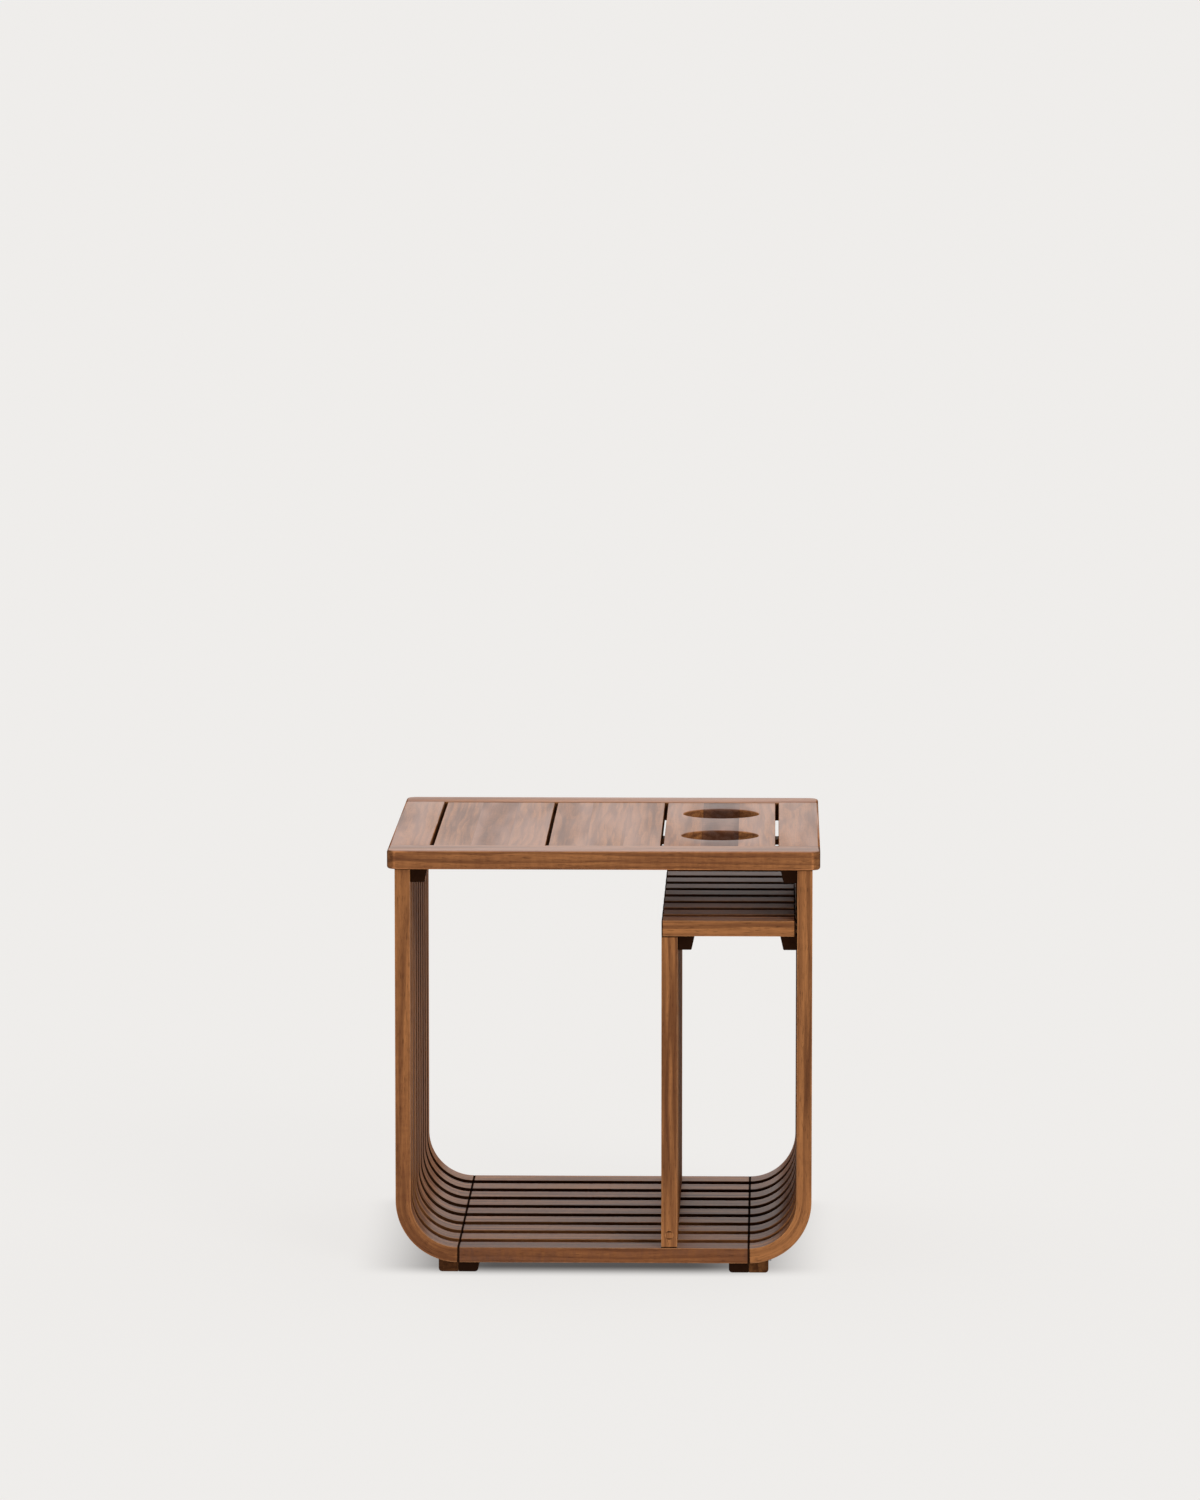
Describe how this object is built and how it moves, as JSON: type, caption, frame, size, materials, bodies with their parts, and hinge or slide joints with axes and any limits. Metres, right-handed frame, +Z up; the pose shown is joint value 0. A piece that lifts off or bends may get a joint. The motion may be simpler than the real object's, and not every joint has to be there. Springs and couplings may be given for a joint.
{
  "type": "outdoor side table",
  "caption": "Slatted hardwood side table for outdoors: framed top with round cup holes, bent slat legs, slatted base, and a small shelf carried by a slatted partition.",
  "frame": {"origin": "on the floor, under the middle of the top", "axes": "+Z up, +X to the right seen from the front, the front faces -Y"},
  "size_m": [0.5, 0.5, 0.495],
  "materials": {
    "oiled_hardwood": "oiled satin",
    "zinc_plated_steel": "zinc plated",
    "brass": "bright drawn"
  },
  "bodies": {
    "root": {"top_front_rail": "oiled_hardwood", "top_back_rail": "oiled_hardwood", "top_left_end_board": "oiled_hardwood", "top_right_end_board": "oiled_hardwood", "top_left_panel": "oiled_hardwood", "top_middle_panel": "oiled_hardwood", "top_cup_panel": "oiled_hardwood", "top_front_cross_batten": "oiled_hardwood", "top_back_cross_batten": "oiled_hardwood", "shelf_left_batten": "oiled_hardwood", "shelf_right_batten": "oiled_hardwood", "left_leg_top_batten": "oiled_hardwood", "left_leg_foot_batten": "oiled_hardwood", "left_base_foot_batten": "oiled_hardwood", "left_leg_slat_1": "oiled_hardwood", "left_leg_slat_2": "oiled_hardwood", "left_leg_slat_3": "oiled_hardwood", "left_leg_slat_4": "oiled_hardwood", "left_leg_slat_5": "oiled_hardwood", "left_leg_slat_6": "oiled_hardwood", "left_leg_slat_7": "oiled_hardwood", "left_leg_slat_8": "oiled_hardwood", "left_leg_slat_9": "oiled_hardwood", "right_leg_top_batten": "oiled_hardwood", "right_leg_foot_batten": "oiled_hardwood", "right_base_foot_batten": "oiled_hardwood", "right_leg_slat_1": "oiled_hardwood", "right_leg_slat_2": "oiled_hardwood", "right_leg_slat_3": "oiled_hardwood", "right_leg_slat_4": "oiled_hardwood", "right_leg_slat_5": "oiled_hardwood", "right_leg_slat_6": "oiled_hardwood", "right_leg_slat_7": "oiled_hardwood", "right_leg_slat_8": "oiled_hardwood", "right_leg_slat_9": "oiled_hardwood", "base_slat_1": "oiled_hardwood", "base_slat_2": "oiled_hardwood", "base_slat_3": "oiled_hardwood", "base_slat_4": "oiled_hardwood", "base_slat_5": "oiled_hardwood", "base_slat_6": "oiled_hardwood", "base_slat_7": "oiled_hardwood", "base_slat_8": "oiled_hardwood", "base_slat_9": "oiled_hardwood", "partition_upright_1": "oiled_hardwood", "partition_upright_2": "oiled_hardwood", "partition_upright_3": "oiled_hardwood", "partition_upright_4": "oiled_hardwood", "partition_upright_5": "oiled_hardwood", "partition_upright_6": "oiled_hardwood", "partition_upright_7": "oiled_hardwood", "partition_upright_8": "oiled_hardwood", "partition_upright_9": "oiled_hardwood", "shelf_slats": "oiled_hardwood", "upright_plugs": "oiled_hardwood", "connector_bolts": "zinc_plated_steel", "sleeve_nuts": "brass"}
  },
  "joints": []
}
